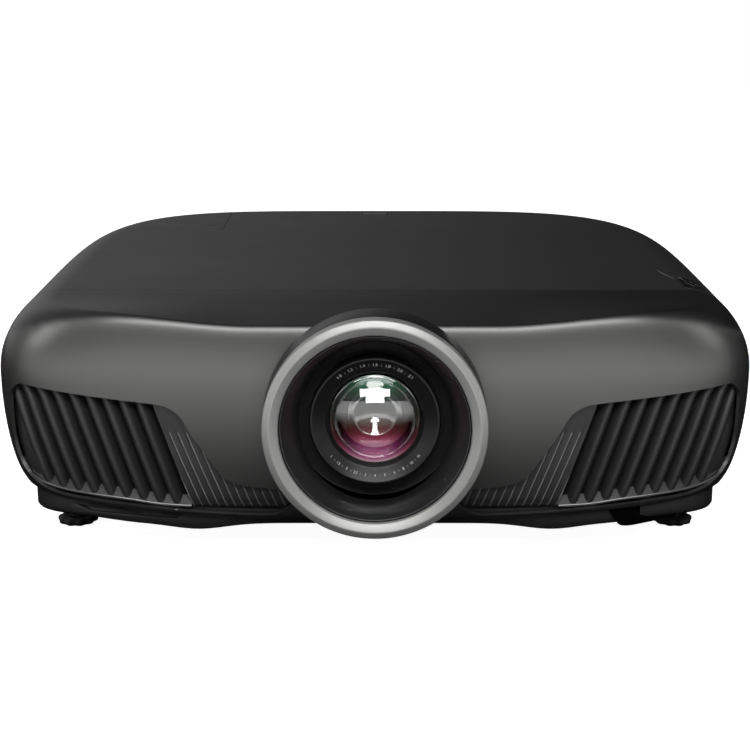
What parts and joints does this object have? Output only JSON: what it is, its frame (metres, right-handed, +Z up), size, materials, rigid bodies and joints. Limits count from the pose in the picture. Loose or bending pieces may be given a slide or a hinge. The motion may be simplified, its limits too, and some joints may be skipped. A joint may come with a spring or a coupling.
{
  "type": "home projector",
  "caption": "Long home cinema projector with a rounded body, a large ringed lens in the middle, slanted side grilles, adjustable front feet and a removable lamp cover.",
  "frame": {"origin": "middle of the footprint, at the height of the surface that the feet stand on", "axes": "+Z up, -Y out of the lens, +X to the right seen from in front"},
  "size_m": [0.52, 0.45, 0.1885],
  "materials": {
    "black_moulding": "satin moulded black",
    "gunmetal_paint": "metallic gunmetal paint on moulded plastic",
    "satin_metal": "satin silver",
    "soft_black": "matt black",
    "smoked_window": "polished smoked acrylic",
    "steel": "plain steel",
    "cast_alloy": "die-cast",
    "rubber": "moulded rubber",
    "glass": "coated optical glass",
    "circuit_board": "solder-masked laminate",
    "filter_felt": "pleated non-woven"
  },
  "bodies": {
    "chassis": {"lens_collar": "black_moulding", "lens_trim_ring": "satin_metal", "lens_bowl": "soft_black", "front_fascia": "gunmetal_paint", "louvre_grille_left": "gunmetal_paint", "fin_panel_left": "black_moulding", "fin_panel_right": "black_moulding", "top_cover": "black_moulding", "status_indicator_strip": "smoked_window", "receiver_window_top": "smoked_window", "base_case": "black_moulding", "receiver_window_front": "smoked_window", "rear_panel": "black_moulding", "ac_inlet": "soft_black", "keypad_plate": "black_moulding", "lens_mount_frame": "cast_alloy", "optical_engine_case": "cast_alloy", "prism_block": "glass", "lcd_panel_green": "glass", "lcd_panel_red": "glass", "lcd_panel_blue": "glass", "main_board": "circuit_board", "power_supply": "steel", "foot_rear_left": "rubber", "foot_rear_right": "rubber", "exhaust_fan_frame": "black_moulding", "intake_fan_frame": "black_moulding"},
    "shift_vertical": {"shift_frame_vertical": "cast_alloy"},
    "lens": {"shift_frame_horizontal": "cast_alloy", "lens_barrel": "soft_black", "front_glass": "glass"},
    "focus_ring": {"focus_ring": "soft_black"},
    "focus_pinion": {"focus_pinion": "steel"},
    "focus_cell": {"focus_lens_cell": "glass"},
    "zoom_ring": {"zoom_ring": "soft_black"},
    "zoom_pinion": {"zoom_pinion": "steel"},
    "zoom_cell": {"zoom_lens_cell": "glass"},
    "iris_upper": {"iris_blade_upper": "steel"},
    "iris_lower": {"iris_blade_lower": "steel"},
    "exhaust_fan": {"exhaust_fan_rotor": "soft_black"},
    "intake_fan": {"intake_fan_rotor": "soft_black"},
    "filter_cover": {"louvre_grille_right": "gunmetal_paint", "air_filter": "filter_felt"},
    "lamp_cover": {"lamp_cover": "black_moulding"},
    "lamp_screw": {"lamp_cover_screw": "steel"},
    "lamp": {"lamp_module": "black_moulding"},
    "control_door": {"control_door": "black_moulding"},
    "key_power": {"button_power": "soft_black"},
    "key_source": {"button_source": "soft_black"},
    "key_menu": {"button_menu": "soft_black"},
    "key_esc": {"button_esc": "soft_black"},
    "key_enter": {"button_enter": "soft_black"},
    "key_up": {"button_up": "soft_black"},
    "key_down": {"button_down": "soft_black"},
    "key_left": {"button_left": "soft_black"},
    "key_right": {"button_right": "soft_black"},
    "foot_left": {"foot_stem_left": "steel"},
    "foot_wheel_left": {"foot_disc_left": "rubber"},
    "foot_right": {"foot_stem_right": "steel"},
    "foot_wheel_right": {"foot_disc_right": "rubber"}
  },
  "joints": [
    {"name": "lens_shift_vertical", "type": "slide", "parent": "chassis", "child": "shift_vertical", "axis": [0, 0, 1], "range_m": [-0.0075, 0.0075]},
    {"name": "lens_shift_horizontal", "type": "slide", "parent": "shift_vertical", "child": "lens", "axis": [1, 0, 0], "range_m": [-0.005, 0.005]},
    {"name": "focus_turn", "type": "hinge", "parent": "lens", "child": "focus_ring", "pos_m": [0, -0.137, 0.102], "axis": [0, 1, 0], "range_deg": [-55, 55]},
    {"name": "focus_pinion_turn", "type": "hinge", "parent": "lens", "child": "focus_pinion", "pos_m": [0.04229, -0.137, 0.14428], "axis": [0, 1, 0], "range_deg": [-290, 290]},
    {"name": "focus_cell_travel", "type": "slide", "parent": "lens", "child": "focus_cell", "axis": [0, 1, 0], "range_m": [-0.003, 0.003]},
    {"name": "zoom_turn", "type": "hinge", "parent": "lens", "child": "zoom_ring", "pos_m": [0, -0.11, 0.102], "axis": [0, 1, 0], "range_deg": [-45, 45]},
    {"name": "zoom_pinion_turn", "type": "hinge", "parent": "lens", "child": "zoom_pinion", "pos_m": [-0.04229, -0.11, 0.14428], "axis": [0, 1, 0], "range_deg": [-238, 238]},
    {"name": "zoom_cell_travel", "type": "slide", "parent": "lens", "child": "zoom_cell", "axis": [0, 1, 0], "range_m": [-0.01, 0.01]},
    {"name": "iris_upper_travel", "type": "slide", "parent": "chassis", "child": "iris_upper", "axis": [0, 0, 1], "range_m": [-0.013, 0]},
    {"name": "iris_lower_travel", "type": "slide", "parent": "chassis", "child": "iris_lower", "axis": [0, 0, 1], "range_m": [0, 0.013]},
    {"name": "exhaust_fan_spin", "type": "hinge", "parent": "chassis", "child": "exhaust_fan", "pos_m": [-0.18, -0.078, 0.084], "axis": [0, 1, 0], "continuous": true},
    {"name": "intake_fan_spin", "type": "hinge", "parent": "chassis", "child": "intake_fan", "pos_m": [0.18, -0.078, 0.084], "axis": [0, 1, 0], "continuous": true},
    {"name": "filter_cover_pull", "type": "slide", "parent": "chassis", "child": "filter_cover", "axis": [0, -1, 0], "range_m": [0, 0.06]},
    {"name": "lamp_cover_slide", "type": "slide", "parent": "chassis", "child": "lamp_cover", "axis": [-1, 0, 0], "range_m": [0, 0.12]},
    {"name": "lamp_screw_turn", "type": "hinge", "parent": "lamp_cover", "child": "lamp_screw", "pos_m": [-0.137, 0.118, 0.18], "axis": [0, 0, 1], "range_deg": [0, 1080]},
    {"name": "lamp_pull", "type": "slide", "parent": "chassis", "child": "lamp", "axis": [-1, 0, 0], "range_m": [0, 0.108]},
    {"name": "control_door_swing", "type": "hinge", "parent": "chassis", "child": "control_door", "pos_m": [0.2602, 0.025, 0.1076], "axis": [0, 1, 0], "range_deg": [0, 100]},
    {"name": "press_power", "type": "slide", "parent": "chassis", "child": "key_power", "axis": [-1, 0, 0], "range_m": [0, 0.0008], "stiffness_N_per_m": 400},
    {"name": "press_source", "type": "slide", "parent": "chassis", "child": "key_source", "axis": [-1, 0, 0], "range_m": [0, 0.0008], "stiffness_N_per_m": 400},
    {"name": "press_menu", "type": "slide", "parent": "chassis", "child": "key_menu", "axis": [-1, 0, 0], "range_m": [0, 0.0008], "stiffness_N_per_m": 400},
    {"name": "press_esc", "type": "slide", "parent": "chassis", "child": "key_esc", "axis": [-1, 0, 0], "range_m": [0, 0.0008], "stiffness_N_per_m": 400},
    {"name": "press_enter", "type": "slide", "parent": "chassis", "child": "key_enter", "axis": [-1, 0, 0], "range_m": [0, 0.0008], "stiffness_N_per_m": 400},
    {"name": "press_up", "type": "slide", "parent": "chassis", "child": "key_up", "axis": [-1, 0, 0], "range_m": [0, 0.0008], "stiffness_N_per_m": 400},
    {"name": "press_down", "type": "slide", "parent": "chassis", "child": "key_down", "axis": [-1, 0, 0], "range_m": [0, 0.0008], "stiffness_N_per_m": 400},
    {"name": "press_left", "type": "slide", "parent": "chassis", "child": "key_left", "axis": [-1, 0, 0], "range_m": [0, 0.0008], "stiffness_N_per_m": 400},
    {"name": "press_right", "type": "slide", "parent": "chassis", "child": "key_right", "axis": [-1, 0, 0], "range_m": [0, 0.0008], "stiffness_N_per_m": 400},
    {"name": "foot_left_height", "type": "slide", "parent": "chassis", "child": "foot_left", "axis": [0, 0, 1], "range_m": [-0.02, 0]},
    {"name": "foot_left_turn", "type": "hinge", "parent": "foot_left", "child": "foot_wheel_left", "pos_m": [-0.216, -0.102, 0.0023], "axis": [0, 0, 1], "range_deg": [-4115, 0]},
    {"name": "foot_right_height", "type": "slide", "parent": "chassis", "child": "foot_right", "axis": [0, 0, 1], "range_m": [-0.02, 0]},
    {"name": "foot_right_turn", "type": "hinge", "parent": "foot_right", "child": "foot_wheel_right", "pos_m": [0.216, -0.102, 0.0023], "axis": [0, 0, 1], "range_deg": [-4115, 0]}
  ],
  "couplings": [
    {"joint": "focus_pinion_turn", "follows": "focus_turn", "ratio": -5.2632},
    {"joint": "focus_cell_travel", "follows": "focus_turn", "m_per_rad": 0.0031252},
    {"joint": "zoom_pinion_turn", "follows": "zoom_turn", "ratio": -5.2632},
    {"joint": "zoom_cell_travel", "follows": "zoom_turn", "m_per_rad": 0.012732},
    {"joint": "iris_lower_travel", "follows": "iris_upper_travel", "ratio": -1},
    {"joint": "lamp_pull", "follows": "lamp_cover_slide", "ratio": 0.9},
    {"joint": "foot_left_turn", "follows": "foot_left_height", "rad_per_m": 3590.4},
    {"joint": "foot_right_turn", "follows": "foot_right_height", "rad_per_m": 3590.4}
  ]
}
